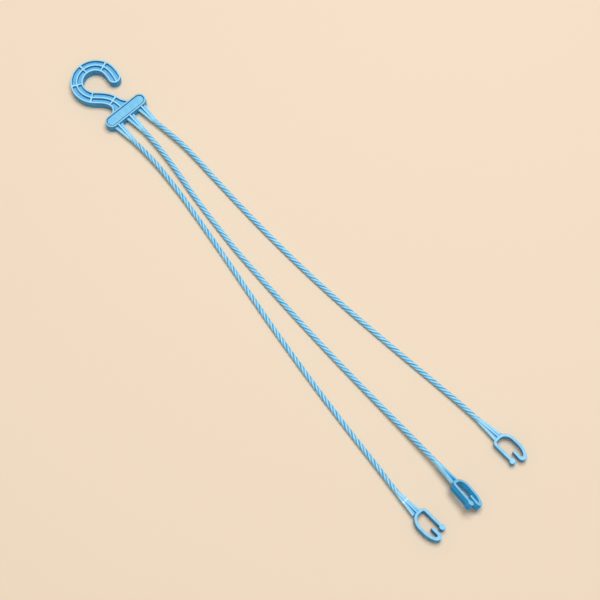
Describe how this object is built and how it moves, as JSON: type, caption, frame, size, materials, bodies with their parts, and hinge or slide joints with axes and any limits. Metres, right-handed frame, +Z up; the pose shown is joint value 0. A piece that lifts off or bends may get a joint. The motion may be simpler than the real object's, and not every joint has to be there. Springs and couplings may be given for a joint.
{
  "type": "hanging pot hanger",
  "caption": "Plastic hanging-pot hanger: a ribbed hook and plate carry long rope-textured strands, each ending in a springy snap clip.",
  "frame": {"origin": "middle of the plate's underside", "axes": "+X along the plate, +Y from the plate to the hook, +Z up out of the face the hanger shows as it lies"},
  "size_m": [0.0942, 0.4475, 0.0154],
  "materials": {
    "body_plastic": "satin moulded polypropylene",
    "strand_plastic": "satin, moulded with a rope twist",
    "clip_plastic": "satin moulded polypropylene"
  },
  "bodies": {
    "hanger": {"hook": "body_plastic", "plate": "body_plastic", "strand_root_left": "body_plastic", "strand_root_middle": "body_plastic", "strand_root_right": "body_plastic"},
    "bend_left": {"strand_bend_left": "strand_plastic"},
    "long_strand_left": {"strand_left": "strand_plastic"},
    "clip_left": {"clip_neck_left": "clip_plastic", "clip_frame_left": "clip_plastic"},
    "latch_left": {"latch_arm_left": "clip_plastic"},
    "bend_middle": {"strand_bend_middle": "strand_plastic"},
    "long_strand_middle": {"strand_middle": "strand_plastic"},
    "clip_middle": {"clip_neck_middle": "clip_plastic", "clip_frame_middle": "clip_plastic"},
    "latch_middle": {"latch_arm_middle": "clip_plastic"},
    "bend_right": {"strand_bend_right": "strand_plastic"},
    "long_strand_right": {"strand_right": "strand_plastic"},
    "clip_right": {"clip_neck_right": "clip_plastic", "clip_frame_right": "clip_plastic"},
    "latch_right": {"latch_arm_right": "clip_plastic"}
  },
  "joints": [
    {"name": "fan_left", "type": "hinge", "parent": "hanger", "child": "bend_left", "pos_m": [-0.01116, -0.0218, 0.004], "axis": [0, 0, 1], "range_deg": [-30, 2]},
    {"name": "lift_left", "type": "hinge", "parent": "bend_left", "child": "long_strand_left", "pos_m": [-0.0109, -0.0341, 0.004], "axis": [-1, 0, 0], "range_deg": [0, 75]},
    {"name": "twist_left", "type": "hinge", "parent": "long_strand_left", "child": "clip_left", "pos_m": [-0.0535, -0.3503, 0.00384], "axis": [0.014, 0.9999, 0], "range_deg": [-90, 90], "stiffness_Nm_per_rad": 0.0005},
    {"name": "latch_flex_left", "type": "hinge", "parent": "clip_left", "child": "latch_left", "pos_m": [-0.04838, -0.3708, 0.00327], "axis": [-0.1045, 0.0015, -0.9945], "range_deg": [-15, 7], "stiffness_Nm_per_rad": 0.02},
    {"name": "fan_middle", "type": "hinge", "parent": "hanger", "child": "bend_middle", "pos_m": [-0.00007, -0.0218, 0.004], "axis": [0, 0, 1], "range_deg": [-2, 2]},
    {"name": "lift_middle", "type": "hinge", "parent": "bend_middle", "child": "long_strand_middle", "pos_m": [-0.00061, -0.03409, 0.004], "axis": [-1, 0, 0], "range_deg": [0, 75]},
    {"name": "twist_middle", "type": "hinge", "parent": "long_strand_middle", "child": "clip_middle", "pos_m": [-0.01961, -0.3528, 0.007], "axis": [0.0349, 0.9994, 0], "range_deg": [-90, 90], "stiffness_Nm_per_rad": 0.0005},
    {"name": "latch_flex_middle", "type": "hinge", "parent": "clip_middle", "child": "latch_middle", "pos_m": [-0.02433, -0.37296, 0.01075], "axis": [0.6816, -0.0238, 0.7314], "range_deg": [-15, 7], "stiffness_Nm_per_rad": 0.02},
    {"name": "fan_right", "type": "hinge", "parent": "hanger", "child": "bend_right", "pos_m": [0.01138, -0.02179, 0.004], "axis": [0, 0, 1], "range_deg": [-2, 30]},
    {"name": "lift_right", "type": "hinge", "parent": "bend_right", "child": "long_strand_right", "pos_m": [0.0126, -0.03403, 0.004], "axis": [-1, 0, 0], "range_deg": [0, 75]},
    {"name": "twist_right", "type": "hinge", "parent": "long_strand_right", "child": "clip_right", "pos_m": [0.02402, -0.3506, 0.0036], "axis": [-0.0593, 0.9982, 0], "range_deg": [-90, 90], "stiffness_Nm_per_rad": 0.0005},
    {"name": "latch_flex_right", "type": "hinge", "parent": "clip_right", "child": "latch_right", "pos_m": [0.01975, -0.37121, 0.00322], "axis": [-0.0696, -0.0041, 0.9976], "range_deg": [-15, 7], "stiffness_Nm_per_rad": 0.02}
  ]
}
